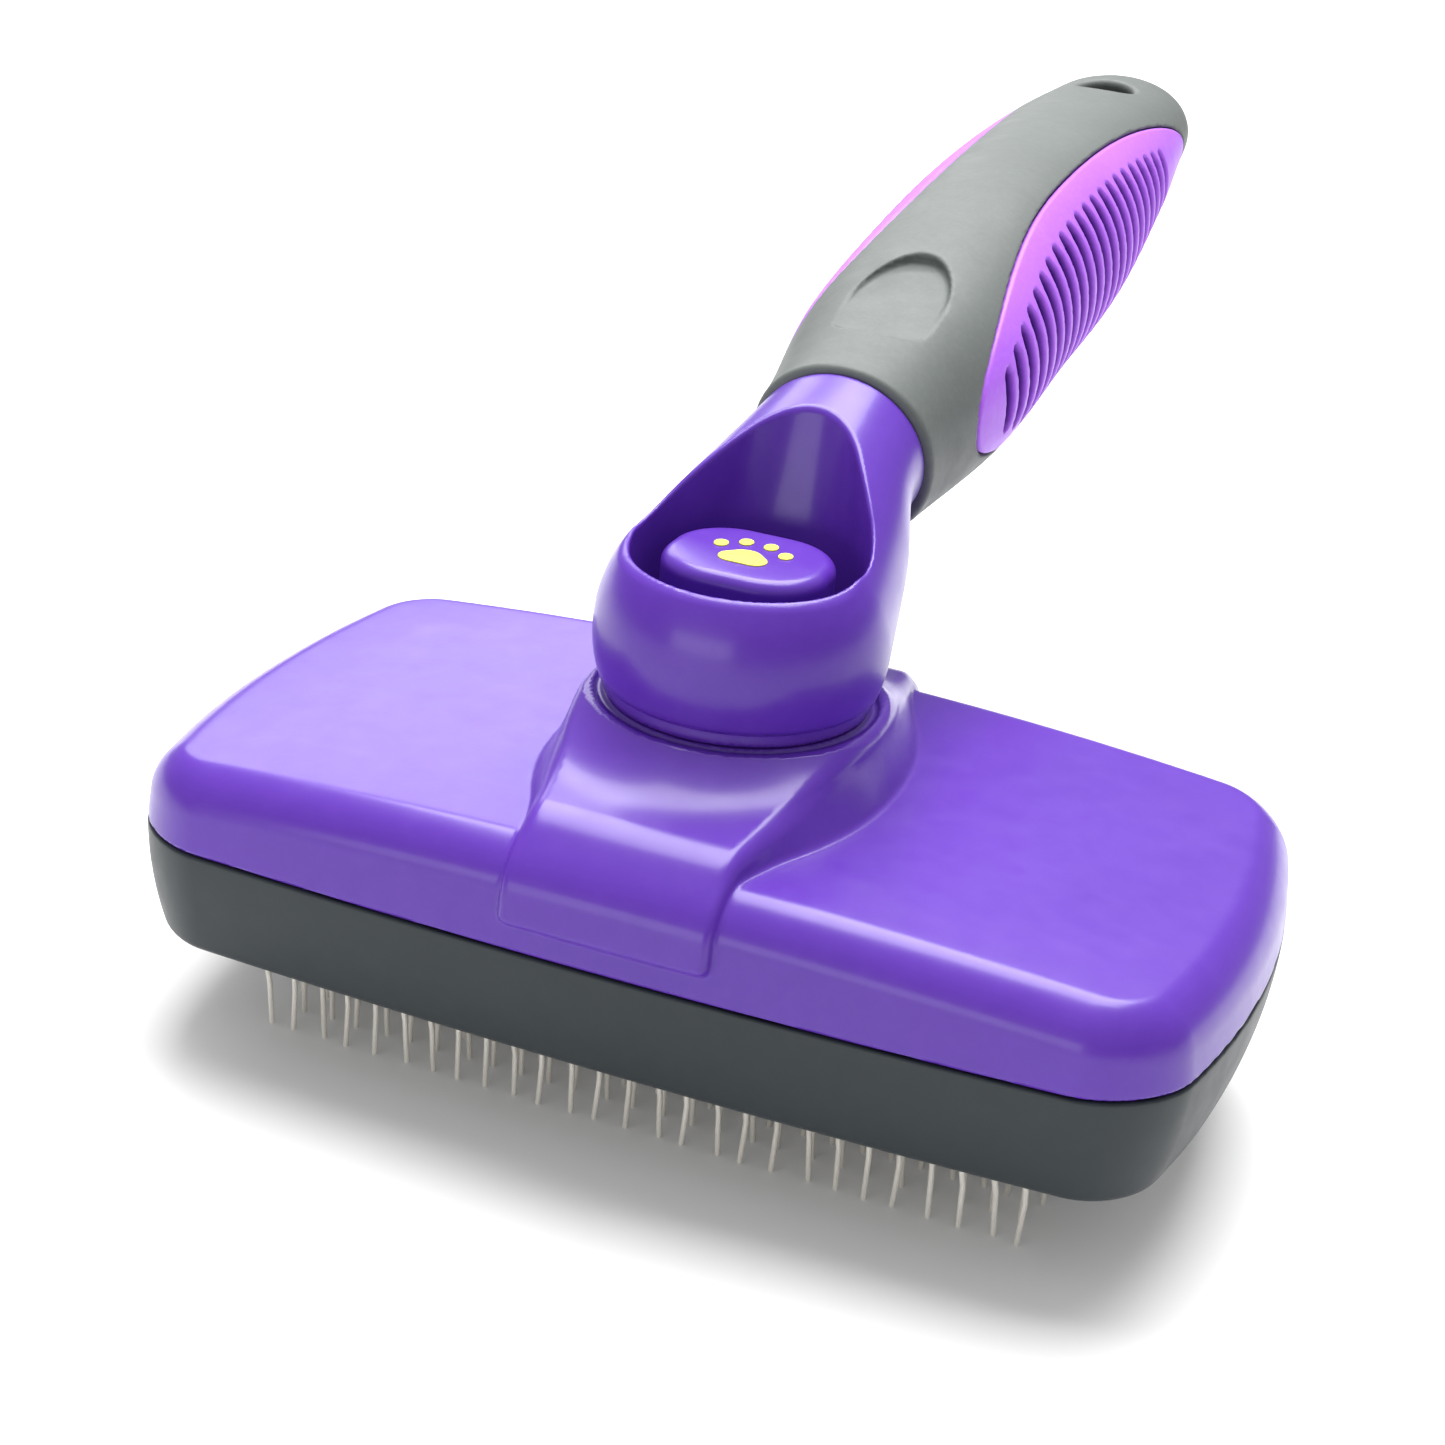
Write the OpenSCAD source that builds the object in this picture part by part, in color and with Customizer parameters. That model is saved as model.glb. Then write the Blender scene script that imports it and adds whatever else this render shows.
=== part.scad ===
// Self-cleaning slicker brush: wide pin head, thumb button in the neck,
// soft-gripped handle. Lengths in millimetres, +Z up, handle towards +Y.
// The head's own datum is the parting line of cover and tray (head z = 0)
// on the axis of the neck (x = y = 0); place() moves it to the part's frame.

/* [Head] */
// Length of the head between its corner ends
head_l = 100; // [98:0.5:104]
// Depth of the head between its corners
head_w = 55.4; // [54:0.2:58]
// How far the short ends bow out
end_bow = 4.1; // [3.4:0.1:4.6]
// How far the long sides bow out
side_bow = 1.8; // [1.4:0.1:2.2]
// Plan radius of the corners
corner_r = 7.5; // [7:0.5:9]
// Height of the cover above the parting line at its ends
cover_h = 7.3; // [7.2:0.1:8]
// Extra height of the cover in the middle
crown = 2.5; // [2:0.1:2.6]
// Height of the saddle's seat for the neck
saddle_h = 16.4; // [16:0.1:17]
// Depth of the grey tray below the parting line
tray_h = 11.7; // [11.6:0.1:12.4]

/* [Pins] */
// Number of pins in a long row
pin_cols = 27; // [21:2:27]
// Number of rows
pin_rows = 12; // [8:1:12]
// Distance between pins along the head
pin_pitch_x = 3.0; // [2.9:0.05:3.05]
// Distance between rows
pin_pitch_y = 3.6; // [3.4:0.1:3.7]
// Wire diameter
pin_d = 0.5; // [0.4:0.05:0.55]
// How far the tips stand below the tray
pin_out = 9.8; // [9.4:0.1:10.4]

/* [Button] */
// Travel of button and tray
travel = 9; // [7:0.5:9]
// Button width across the handle
button_w = 16.2; // [15.6:0.1:16.4]
// Button depth along the handle
button_d = 13.6; // [13:0.1:14]
// Plunger shaft radius
shaft_r = 3; // [2.6:0.1:3]
// Running clearance around the shaft
shaft_gap = 0.05; // [0.03:0.01:0.08]

/* [Handle] */
// Bulb radius
bulb_r = 14.2; // [13.8:0.1:14.4]
// Where the grip starts, behind the neck's axis
grip_y0 = 24; // [23:0.5:25]
// Where the grip ends
grip_y1 = 133.5; // [128:0.5:136]
// Radius of the hang hole
hole_r = 3.3; // [2.8:0.1:3.6]

/* [Hidden] */
purple = [0.42, 0.27, 0.78];
lilac = [0.66, 0.42, 0.88];
grey = [0.30, 0.32, 0.34];
grip_grey = [0.45, 0.46, 0.46];
steel = [0.75, 0.74, 0.70];

A = head_l/2;
B = head_w/2;
gap = 0.25;                 // parting gap of cover and tray
wall = 2.1;
tip_z = tray_h + pin_out;   // pin tips below the parting line
floor_t = 1.8;              // tray floor
base_lo = -tray_h + floor_t + 0.5;
base_t = 2.4;
pad_t = 1.6;
strap_y = B + side_bow + 1.1;
end_out = 0.22;             // how far the end bulges past its last section
y_mid = (grip_y1 + end_out - strap_y)/2;
hub_floor = cover_h + crown - wall;
hub_lo = 6.4;               // underside of the shaft guide
hub_top = hub_floor + 2.2;
spigot_r = 11.8;
bore_r = 8.7;               // button shaft in the neck
well_r = 11;                // thumb well
well_z = 20.5;
bulb_z = 22.8;
face_z = 30.6;              // button face
push_lo = 2.2;
push_t = 2.5;
post_x = 44.4;
post_y = 13;
guide_x = 44.4;
hole_y = 119;
slope = 10.8;               // lean of the handle's sections, degrees
tang_slope = 9;             // rise of the tang inside it

// ---- plan outline of the head -------------------------------------------
function bowx(x, y) = x + sign(x)*end_bow*(1 - pow(y/B, 2))*min(1, abs(x)/A);
function bowy(x, y) = y + sign(y)*side_bow*(1 - pow(x/A, 2))*min(1, abs(y)/B);
function bowed(p) = [bowx(p[0], bowy(p[0], p[1])), bowy(p[0], p[1])];
// front half of the outline, left end to right end, inset by i
function front(i) = let (a = A - i, b = B - i, r = max(corner_r - i, 1.5))
  concat([[-a, 0], [-a, -(b - r)*0.5]],
    [for (k = [0:6]) [-a + r + r*cos(180 + 15*k), -b + r + r*sin(180 + 15*k)]],
    [for (k = [1:9]) [-a + r + (2*a - 2*r)*k/10, -b]],
    [for (k = [0:6]) [a - r + r*cos(270 + 15*k), -b + r + r*sin(270 + 15*k)]],
    [[a, -(b - r)*0.5], [a, 0]]);
function ring2(i) = let (f = [for (p = front(i)) bowed(p)], n = len(f))
  concat(f, [for (k = [n-2:-1:1]) [f[k][0], -f[k][1]]]);
function crown_at(x) = crown*(1 - pow(x/A, 2));
function ring3(i, z, c) = [for (p = ring2(i)) [p[0], p[1], z + c*crown_at(p[0])]];

// closed solid through a stack of rings, each mirrored about y = 0
module stack(rings) {
  n = len(rings[0]); m = len(rings); h = n/2;
  function cap(o, up) = concat(
    [up ? [o, o+1, o+n-1] : [o+n-1, o+1, o]],
    [for (k = [1:h-2]) let (q = [o+k, o+k+1, o+n-k-1, o+n-k])
      up ? q : [q[3], q[2], q[1], q[0]]],
    [up ? [o+h-1, o+h, o+h+1] : [o+h+1, o+h, o+h-1]]);
  polyhedron(points = [for (r = rings) for (p = r) p],
    faces = concat(
      [for (f = cap(0, false)) [for (k = [len(f)-1:-1:0]) f[k]]],
      [for (j = [0:m-2]) for (k = [0:n-1]) let (a = j*n + k, b = j*n + (k+1)%n)
        [a, a+n, b+n]],
      [for (j = [0:m-2]) for (k = [0:n-1]) let (a = j*n + k, b = j*n + (k+1)%n)
        [a, b+n, b]],
      [for (f = cap((m-1)*n, true)) [for (k = [len(f)-1:-1:0]) f[k]]]));
}

module place() { translate([0, -y_mid, tip_z]) children(); }

// ---- head ----------------------------------------------------------------
rim = 3.4;
module cover_skin() {
  stack(concat([ring3(0, 0, 0), ring3(1.0, cover_h - rim, 1)],
    [for (t = [22.5:22.5:90]) ring3(1.0 + rim*(1 - cos(t)), cover_h - rim + rim*sin(t), 1)]));
}
module cover_cavity() {
  stack([ring3(wall, -1, 0), ring3(wall + 0.8, cover_h - rim - 0.5, 1),
    ring3(wall + 2.6, cover_h - wall, 1)]);
}
// strap of the saddle: side profile across the head
function strap_side() = [[-strap_y + 0.4, 2.8], [-strap_y, 6], [-strap_y + 0.5, 8.4],
  [-strap_y + 2, 10.2], [-strap_y + 4.5, 11.1], [-22, 11.9], [-17.5, 13.2],
  [-15.6, 14.6], [-14.6, 16.0]];
module strap() {
  s = strap_side(); n = len(s);
  inner = [[B + side_bow - 1.4, 2.8], [B + side_bow - 2.2, hub_floor - 0.6], [20, hub_floor + 0.4]];
  intersection() {
    rotate([90, 0, 90]) translate([0, 0, -20]) linear_extrude(40)
      polygon(concat(s, [for (k = [n-1:-1:0]) [-s[k][0], s[k][1]]],
        inner, [for (k = [2:-1:0]) [-inner[k][0], inner[k][1]]]));
    linear_extrude(20) polygon(concat(
      [for (p = [[-34, 10.4], [-25, 10.5], [-20, 13], [-15, 15.4], [-6, 16.6], [0, 16.8],
        [6, 16.6], [15, 15.4], [20, 13], [25, 10.5], [34, 10.4]]) [p[1], p[0]]],
      [for (p = [[34, 10.4], [25, 10.5], [20, 13], [15, 15.4], [6, 16.6], [0, 16.8],
        [-6, 16.6], [-15, 15.4], [-20, 13], [-25, 10.5], [-34, 10.4]]) [-p[1], p[0]]]));
  }
}
module hub_blank() {
  rotate_extrude($fn = 96) polygon([[0, hub_lo], [6.5, hub_lo], [7.5, hub_floor - 0.6],
    [16.8, hub_floor + 0.4], [16.6, 11.6], [15.4, 14.2], [14.9, saddle_h], [0, saddle_h]]);
}
module head_cover() {
  color(purple) difference() {
    union() {
      difference() { cover_skin(); cover_cavity(); }
      strap();
      hub_blank();
      for (s = [-1, 1]) translate([s*guide_x, 0, base_lo + base_t])
        cylinder(r = 2.4, h = cover_h - base_lo - base_t - 1.2, $fn = 40);
    }
    translate([0, 0, hub_top]) cylinder(r = spigot_r + 0.1, h = 20, $fn = 96);
    translate([0, 0, 0]) cylinder(r = shaft_r + shaft_gap, h = 20, $fn = 64);
    for (t = [90, 210, 330]) rotate([0, 0, t]) translate([10.2, 0, hub_floor - 1])
      cylinder(r = 1.15, h = 5, $fn = 24);
    for (t = [90, 210, 330]) rotate([0, 0, t]) translate([10.2, 0, hub_floor - 3])
      cylinder(r = 2.0, h = 3, $fn = 32);
    for (s = [-1, 1]) translate([s*guide_x, 0, base_lo + base_t - 1])
      cylinder(r = 0.9, h = 8, $fn = 24);
  }
}
// wall of the tray: inset grows towards the floor
function tray_in(u) = 2.1*pow(u, 2.1);
tray_wall = 1.6;
module pin_spots(skip_edges, only_edges) {
  // odd rows have pin_cols pins, even rows one less, half a pitch over
  for (r = [0:pin_rows-1]) {
    n = pin_cols - (r % 2);
    for (c = [0:n-1]) {
      edge = (r == 0 || r == pin_rows-1) && (c == 0 || c == n-1 || c == floor(n/2));
      if ((!edge && !only_edges) || (edge && !skip_edges))
        translate([(c - (n-1)/2)*pin_pitch_x, (r - (pin_rows-1)/2)*pin_pitch_y, 0]) children();
    }
  }
}
module strip_tray() {
  color(grey) difference() {
    union() {
      difference() {
        stack(concat([for (u = [1, 0.96, 0.88, 0.72, 0.5, 0.25, 0])
          ring3(tray_in(u) + (u == 1 ? 1.1 : u > 0.94 ? 0.25 : 0), -gap - (tray_h - gap)*u, 0)]));
        stack([ring3(tray_wall + 2.0, -tray_h + floor_t, 0), ring3(tray_wall + 0.5, -tray_h*0.5, 0),
          ring3(tray_wall, 1, 0)]);
      }
      for (x = [-post_x, post_x]) for (y = [-post_y, post_y])
        translate([x, y, -tray_h + floor_t - 0.3]) cylinder(r = 2.2, h = push_lo + tray_h - floor_t + 0.3, $fn = 40);
    }
    translate([0, 0, -tray_h - 1]) linear_extrude(floor_t + 2) pin_spots(false, false) circle(r = pin_d/2 + 0.25, $fn = 16);
    for (x = [-post_x, post_x]) for (y = [-post_y, post_y]) translate([x, y, -tray_h - 1]) {
      cylinder(r = 1.05, h = 30, $fn = 24);
      cylinder(r = 2.0, h = 2.4, $fn = 32);
    }
  }
}
module pin_base() {
  i0 = tray_wall + 2.3;
  color([0.22, 0.23, 0.25]) difference() {
    union() {
      difference() {
        stack([ring3(i0, base_lo, 0), ring3(i0 - 0.3, -tray_h*0.5, 0), ring3(i0 - 1.2, 0.6, 0)]);
        stack([ring3(i0 + 1.3, base_lo + base_t, 0), ring3(i0 + 0.6, 2, 0)]);
      }
    }
    // pocket for the pad
    translate([-41.5, -22, base_lo - 1]) linear_extrude(1 + pad_t) square([83, 44]);
    linear_extrude(40, center = true) pin_spots(false, false) circle(r = pin_d/2, $fn = 16);
    for (x = [-post_x, post_x]) for (y = [-post_y, post_y]) translate([x, y, -20])
      cylinder(r = 2.27, h = 40, $fn = 40);
    for (s = [-1, 1]) translate([s*guide_x, 0, -20]) {
      cylinder(r = 1.1, h = 30, $fn = 24);
    }
    for (s = [-1, 1]) translate([s*guide_x, 0, base_lo - 1]) cylinder(r = 2.1, h = 2.5, $fn = 32);
  }
}
module pin_pad() {
  color([0.16, 0.16, 0.17]) translate([0, 0, base_lo]) linear_extrude(pad_t)
    difference() {
      square([83, 44], center = true);
      pin_spots(false, false) circle(r = pin_d/2, $fn = 16);
    }
}
module one_pin() {
  translate([0, 0, -tip_z + pin_d/2]) cylinder(r = pin_d/2, h = tip_z - pin_d/2 + base_lo + base_t - 0.2, $fn = 16);
  translate([0, 0, -tip_z]) cylinder(r1 = pin_d*0.3, r2 = pin_d/2, h = pin_d/2, $fn = 16);
}
module bristle_pins() { color(steel) pin_spots(true, false) one_pin(); }
module edge_pins() { color(steel) pin_spots(false, true) one_pin(); }

// ---- mechanism -----------------------------------------------------------
module pusher_frame() {
  color([0.85, 0.85, 0.83]) difference() {
    union() {
      translate([0, 0, push_lo]) linear_extrude(push_t) {
        square([2*post_x, 8], center = true);
        for (s = [-1, 1]) translate([s*post_x, 0]) square([6, 2*post_y], center = true);
        for (s = [-1, 1]) translate([s*guide_x, 0]) circle(r = 3.9, $fn = 40);
        for (x = [-post_x, post_x]) for (y = [-post_y, post_y]) translate([x, y]) circle(r = 3, $fn = 40);
      }
      translate([0, 0, push_lo]) cylinder(r = 7, h = 3.1, $fn = 48);
    }
    for (s = [-1, 1]) translate([s*guide_x, 0, 0]) cylinder(r = 2.48, h = 9, $fn = 40);
    for (x = [-post_x, post_x]) for (y = [-post_y, post_y]) translate([x, y, 0]) cylinder(r = 0.95, h = 9, $fn = 24);
    translate([0, 0, 0]) cylinder(r = 2.1, h = 9, $fn = 32);
    translate([0, 0, 0]) cylinder(r = 3.2, h = push_lo + 1.5, $fn = 32);
  }
}
module stop_ring() {
  color([0.1, 0.1, 0.1]) translate([0, 0, push_lo + 3.1]) difference() {
    cylinder(r = 5.8, h = hub_lo - push_lo - 3.1 - 0.05, $fn = 48);
    translate([0, 0, -1]) cylinder(r = 3.4, h = 4, $fn = 48);
  }
}
cap_in = 28.4;              // underside of the button's top
module plunger() {
  color([0.8, 0.8, 0.8]) difference() {
    union() {
      translate([0, 0, push_lo + 3.1]) cylinder(r = shaft_r, h = cap_in - push_lo - 3.1 - 3, $fn = 64);
      translate([0, 0, push_lo + 1.5]) cylinder(r = 2.05, h = 3, $fn = 32);
      translate([0, 0, cap_in - 3]) cylinder(r = 5.1, h = 1.2, $fn = 48);
      translate([0, 0, cap_in - 3]) cylinder(r = 2.2, h = 3, $fn = 40);
    }
    cylinder(r = 0.8, h = 14, $fn = 24);
  }
}
module rrect(w, d, r) {
  square([w - 2*r, d], center = true);
  square([w, d - 2*r], center = true);
  for (x = [-1, 1]) for (y = [-1, 1]) translate([x*(w/2 - r), y*(d/2 - r)]) circle(r = r, $fn = 64);
}
module push_button() {
  color(purple) difference() {
    union() {
      translate([0, 0, face_z - 1.2]) linear_extrude(0.6) rrect(button_w - 0.7, button_d - 0.7, 5.8);
      translate([0, 0, face_z - 0.6]) linear_extrude(0.6) rrect(button_w - 2, button_d - 2, 5.4);
      translate([0, 0, well_z + 0.4]) linear_extrude(face_z - 1.2 - well_z - 0.4) rrect(button_w, button_d, 6);
    }
    translate([0, 0, 0]) cylinder(r = 5.5, h = cap_in - 1.8, $fn = 64);
    translate([0, 0, 20]) cylinder(r = 4.2, h = cap_in - 20, $fn = 64);
  }
}
// the cap's inner step rests on the plunger's flange
module button_emblem() {
  color([0.95, 0.93, 0.42]) translate([0, 0.2, face_z]) {
    translate([0, -1.5, 0]) linear_extrude(0.15) { circle(r = 1.7, $fn = 40); translate([-1.1, -0.5]) circle(r = 1.25, $fn = 32); translate([1.1, -0.5]) circle(r = 1.25, $fn = 32); }
    for (p = [[-3.3, 0.7], [-1.25, 2.2], [1.25, 2.2], [3.3, 0.7]])
      translate([p[0], p[1], 0]) linear_extrude(0.15) circle(r = 0.85, $fn = 32);
  }
}
spring_lo = hub_top + 0.5;
spring_hi = cap_in - 3;
spring_n = 6;
module return_spring() {
  // ground-ended coil as one swept tube
  seg = 14; R = 4.25; w = 0.4; N = spring_n*seg; ns = 6;
  z0 = spring_lo + w; z1 = spring_hi - w; e = 2.15*w;
  function rise(t) = t < 1 ? e*t : t > spring_n - 1 ? z1 - z0 - e*(spring_n - t)
    : e + (z1 - z0 - 2*e)*(t - 1)/(spring_n - 2);
  pts = [for (i = [0:N]) let (t = i/seg, a = 360*t, z = z0 + rise(t))
    for (k = [0:ns-1]) let (b = 360*k/ns + 30) [(R + w*cos(b))*cos(a), (R + w*cos(b))*sin(a), z + w*sin(b)]];
  color(steel) polyhedron(points = pts, faces = concat(
    [[for (k = [0:ns-1]) k]],
    [for (i = [0:N-1]) for (k = [0:ns-1]) let (a = i*ns + k, b = i*ns + (k+1)%ns) [a, a+ns, b+ns]],
    [for (i = [0:N-1]) for (k = [0:ns-1]) let (a = i*ns + k, b = i*ns + (k+1)%ns) [a, b+ns, b]],
    [[for (k = [ns-1:-1:0]) N*ns + k]]));
}
module spring_washer() {
  color(steel) translate([0, 0, hub_top]) difference() {
    cylinder(r = 5.4, h = 0.5, $fn = 48);
    translate([0, 0, -1]) cylinder(r = 3.4, h = 3, $fn = 48);
  }
}
module screw(head_r, head_h, shank_r, shank_l) {
  // head's top face at z = 0, shank upwards
  translate([0, 0, -head_h]) difference() {
    cylinder(r = head_r, h = head_h, $fn = 32);
    translate([0, 0, -0.01]) linear_extrude(0.7) { square([head_r*1.2, 0.5], center = true); square([0.5, head_r*1.2], center = true); }
  }
  cylinder(r = shank_r, h = shank_l, $fn = 24);
}
module plunger_screw() { color(steel) translate([0, 0, push_lo + 1.5]) screw(2.8, 1.3, 0.8, 8); }
module tray_screws() { color(steel) for (x = [-post_x, post_x]) for (y = [-post_y, post_y])
  translate([x, y, -tray_h + 1.4]) screw(1.9, 1.2, 0.95, push_lo + tray_h - 1.4 + 2.3); }
module base_screws() { color(steel) for (s = [-1, 1])
  translate([s*guide_x, 0, base_lo + 1.5]) screw(2.0, 1.3, 0.9, 7.5); }
module neck_screws() { color(steel) for (t = [90, 210, 330]) rotate([0, 0, t])
  translate([10.2, 0, hub_floor]) rotate([0, 0, 0]) screw(1.9, 1.1, 1.0, 7.5); }

// ---- neck and handle -----------------------------------------------------
// handle stations along y: half width w, half thickness t, centre height z
function grip_u(y) = (y - 24)/104;
function lerp(a, b, t) = a + (b - a)*t;
function table(v, u) = let (n = len(v) - 1, s = min(max(u, 0), 1)*n, i = min(floor(s), n - 1), f = s - i,
  p0 = v[max(i-1, 0)], p1 = v[i], p2 = v[i+1], p3 = v[min(i+2, n)])
  0.5*(2*p1 + (p2 - p0)*f + (2*p0 - 5*p1 + 4*p2 - p3)*f*f + (3*p1 - p0 - 3*p2 + p3)*f*f*f);
function grip_z(y) = table([33.4, 36.7, 40.2, 42.9, 46.5, 49.4], grip_u(y)) + (y > 128 ? (y - 128)*0.15 : 0);
function end_round(y) = y < grip_y1 - 10.5 ? 1 : pow(1 - pow((y - grip_y1 + 10.5)/10.6, 3), 0.48);
function grip_w(y) = table([9.7, 12.7, 12.9, 13.0, 11.7, 9.5], grip_u(y))*end_round(y);
function grip_t(y) = table([9.7, 11.8, 12.9, 12.5, 9.7, 6.5], grip_u(y))*end_round(y);
function sgnpow(v, e) = sign(v)*pow(abs(v), e);
NS = 28;
function grip_pt(y, a, g) = let (e = 2/2.08, w = grip_w(y) - g, t = grip_t(y) - g, v = t*sgnpow(sin(a), e))
  [w*sgnpow(cos(a), e), y - v*sin(slope), grip_z(y) + v*cos(slope)];
function grip_ring(y, g) = [for (k = [0:NS-1]) grip_pt(y, 360*k/NS + 90, g)];
module tube(rings) {
  n = len(rings[0]); m = len(rings);
  polyhedron(points = [for (r = rings) for (p = r) p], faces = concat(
    [[for (k = [n-1:-1:0]) k]],
    [for (j = [0:m-2]) for (k = [0:n-1]) let (a = j*n + k, b = j*n + (k+1)%n) [a, b+n, a+n]],
    [for (j = [0:m-2]) for (k = [0:n-1]) let (a = j*n + k, b = j*n + (k+1)%n) [a, b, b+n]],
    [[for (k = [0:n-1]) (m-1)*n + k]]));
}
grip_ys = concat([for (y = [grip_y0:8:grip_y1 - 12]) y], [for (d = [9, 6, 3.6, 1.8, 0.7, 0]) grip_y1 - d]);
module grip_blank(g) { tube([for (y = grip_ys) grip_ring(y, g)]); }
// tang inside the grip: stepped round core along the handle's axis
module tang(g) {
  translate([0, grip_y0, 33.4]) rotate([-90 + tang_slope, 0, 0]) {
    translate([0, 0, -0.5]) cylinder(r = 6.4 + g, h = 42, $fn = 48);
    translate([0, 0, 40]) cylinder(r = 5 + g, h = 44, $fn = 48);
  }
}
// a side pad fills a lens-shaped window that wraps round the handle's side
pad_yc = 78.2;              // middle of the window
pad_l = 43.8;               // its half length
pad_up = 60;                // how far up and down it wraps, degrees
pad_dn = 50;
pad_g = 2.2;                // its depth
function pad_shape(y) = pow(1 - pow(min(0.985, abs(y - pad_yc)/pad_l), 2.2), 1/2.2);
module pad_patch() {
  n = 10;
  tube([for (k = [0:20]) let (y = pad_yc - pad_l*0.985*cos(9*k), s = pad_shape(y))
    concat([for (i = [0:n]) grip_pt(y, s*lerp(-pad_dn, pad_up, i/n), -1.5)],
      [for (i = [n:-1:0]) grip_pt(y, s*lerp(-pad_dn, pad_up, i/n), pad_g)])]);
}
module side_cut(s) { mirror([s < 0 ? 1 : 0, 0, 0]) pad_patch(); }
module side_pad(s) { intersection() { grip_blank(0); side_cut(s); } }
module side_pad_right() { color(lilac) side_pad(1); }
module side_pad_left() { color(lilac) side_pad(-1); }
module grip_sleeve() {
  color(grip_grey) difference() {
    grip_blank(0);
    side_cut(1); side_cut(-1);
    tang(0);
    translate([0, hole_y, grip_z(hole_y)]) rotate([slope, 0, 0]) cylinder(r = hole_r, h = 40, center = true, $fn = 64);
    // arch-shaped blank recess on top, flat side towards the neck
    translate([0, 42, grip_z(42) + grip_t(42) - 1.1]) rotate([slope + 4, 0, 0]) linear_extrude(5)
      { translate([0, 2]) circle(r = 5, $fn = 48); translate([-5, -6.6]) square([10, 8.6]); }
  }
}
module neck() {
  color(purple) difference() {
    union() {
      intersection() {
        hull() {
          translate([0, 0, bulb_z]) sphere(r = bulb_r, $fn = 40);
          translate([0, grip_y0 - 1.2*cos(slope), 33.4 - 1.2*sin(slope)]) rotate([-90 + slope, 0, 0]) cylinder(r = 8.95, h = 1.2, $fn = 40);
        }
        translate([-30, -30, saddle_h + 1]) cube([60, 80, 40]);
      }
      translate([0, 0, saddle_h + 0.1]) cylinder(r = 13.5, h = 3.2, $fn = 96);
      translate([0, 0, hub_top]) cylinder(r = spigot_r, h = saddle_h - hub_top + 1, $fn = 96);
      tang(0);
    }
    // thumb well: straight down in front, teardrop towards the handle
    hull() {
      translate([0, 0, well_z]) cylinder(r = well_r - 0.2, h = 0.1, $fn = 32);
      translate([0, 0, 44]) cylinder(r = well_r, h = 0.1, $fn = 32);
      translate([0, 9.2, 44]) cylinder(r = 5.6, h = 0.1, $fn = 32);
    }
    translate([0, 0, 0]) cylinder(r = bore_r, h = 30, $fn = 96);
    for (t = [90, 210, 330]) rotate([0, 0, t]) translate([10.2, 0, hub_top - 1]) cylinder(r = 1.0, h = 6.6, $fn = 24);
  }
}

place() head_cover();
place() strip_tray();
place() pin_base();
place() pin_pad();
place() bristle_pins();
place() edge_pins();
place() pusher_frame();
place() plunger();
place() push_button();
place() button_emblem();
place() return_spring();
place() spring_washer();
place() stop_ring();
place() plunger_screw();
place() tray_screws();
place() base_screws();
place() neck_screws();
place() neck();
place() grip_sleeve();
place() side_pad_left();
place() side_pad_right();
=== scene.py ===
import math
import bpy
import numpy as np
from mathutils import Matrix, Vector


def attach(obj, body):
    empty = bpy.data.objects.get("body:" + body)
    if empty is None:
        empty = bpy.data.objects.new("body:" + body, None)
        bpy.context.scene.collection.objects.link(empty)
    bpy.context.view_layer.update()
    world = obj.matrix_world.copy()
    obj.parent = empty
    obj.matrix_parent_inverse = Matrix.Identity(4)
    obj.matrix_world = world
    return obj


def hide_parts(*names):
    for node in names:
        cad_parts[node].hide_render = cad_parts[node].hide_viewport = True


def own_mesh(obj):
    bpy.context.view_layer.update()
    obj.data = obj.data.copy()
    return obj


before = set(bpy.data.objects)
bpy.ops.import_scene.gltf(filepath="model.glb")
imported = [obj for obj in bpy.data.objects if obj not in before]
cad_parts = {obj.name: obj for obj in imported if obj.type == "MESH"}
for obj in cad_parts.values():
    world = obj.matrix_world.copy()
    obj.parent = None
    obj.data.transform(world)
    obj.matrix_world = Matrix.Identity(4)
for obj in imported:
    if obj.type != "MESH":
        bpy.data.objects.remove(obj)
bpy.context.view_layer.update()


# ===== GEOMETRY BEGIN =====
# Everything below is in millimetres in the head's own datum: z = 0 at the parting line of cover
# and tray, x = y = 0 on the neck's axis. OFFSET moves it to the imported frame.
TIP = 21.5
Y_MID = (133.5 + 0.22 - 30.6) / 2
A, B = 50.0, 27.7
END_BOW, SIDE_BOW, CORNER = 4.1, 1.8, 7.5
COVER_H, CROWN, SADDLE_H, TRAY_H = 7.3, 2.5, 16.4, 11.7
WALL, GAP = 2.1, 0.25
PIN_COLS, PIN_ROWS, PX, PY, PIN_D, ROW_SHIFT = 27, 12, 3.0, 3.6, 0.5, 0.55
POST_X, POST_Y, GUIDE_X = 44.4, 13.0, 44.4
HUB_FLOOR = COVER_H + CROWN - WALL
HUB_TOP = HUB_FLOOR + 2.2
BULB_Z, BULB_R, WELL_R, WELL_Z, BORE_R = 22.8, 14.2, 11.0, 20.5, 8.7
FACE_Z = 30.6
SLOPE = math.radians(10.8)
TCS, TSN = math.cos(math.radians(9)), math.sin(math.radians(9))
CS, SN = math.cos(SLOPE), math.sin(SLOPE)
GRIP_Y0, GRIP_Y1, HOLE_R, HOLE_Y = 24.0, 133.5, 3.3, 119.0
SEAM_Z = 33.4


def rint(a, b, r):
    """Intersection of two fields with a fillet of radius r."""
    return np.minimum(-r, np.maximum(a, b)) + np.hypot(np.maximum(a + r, 0), np.maximum(b + r, 0))


def runi(a, b, r):
    """Union of two fields with a fillet of radius r."""
    return np.maximum(r, np.minimum(a, b)) - np.hypot(np.maximum(r - a, 0), np.maximum(r - b, 0))


def smin(a, b, k):
    h = np.maximum(k - np.abs(a - b), 0) / k
    return np.minimum(a, b) - h * h * h * k / 6


def smax(a, b, k):
    return -smin(-a, -b, k)


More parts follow.
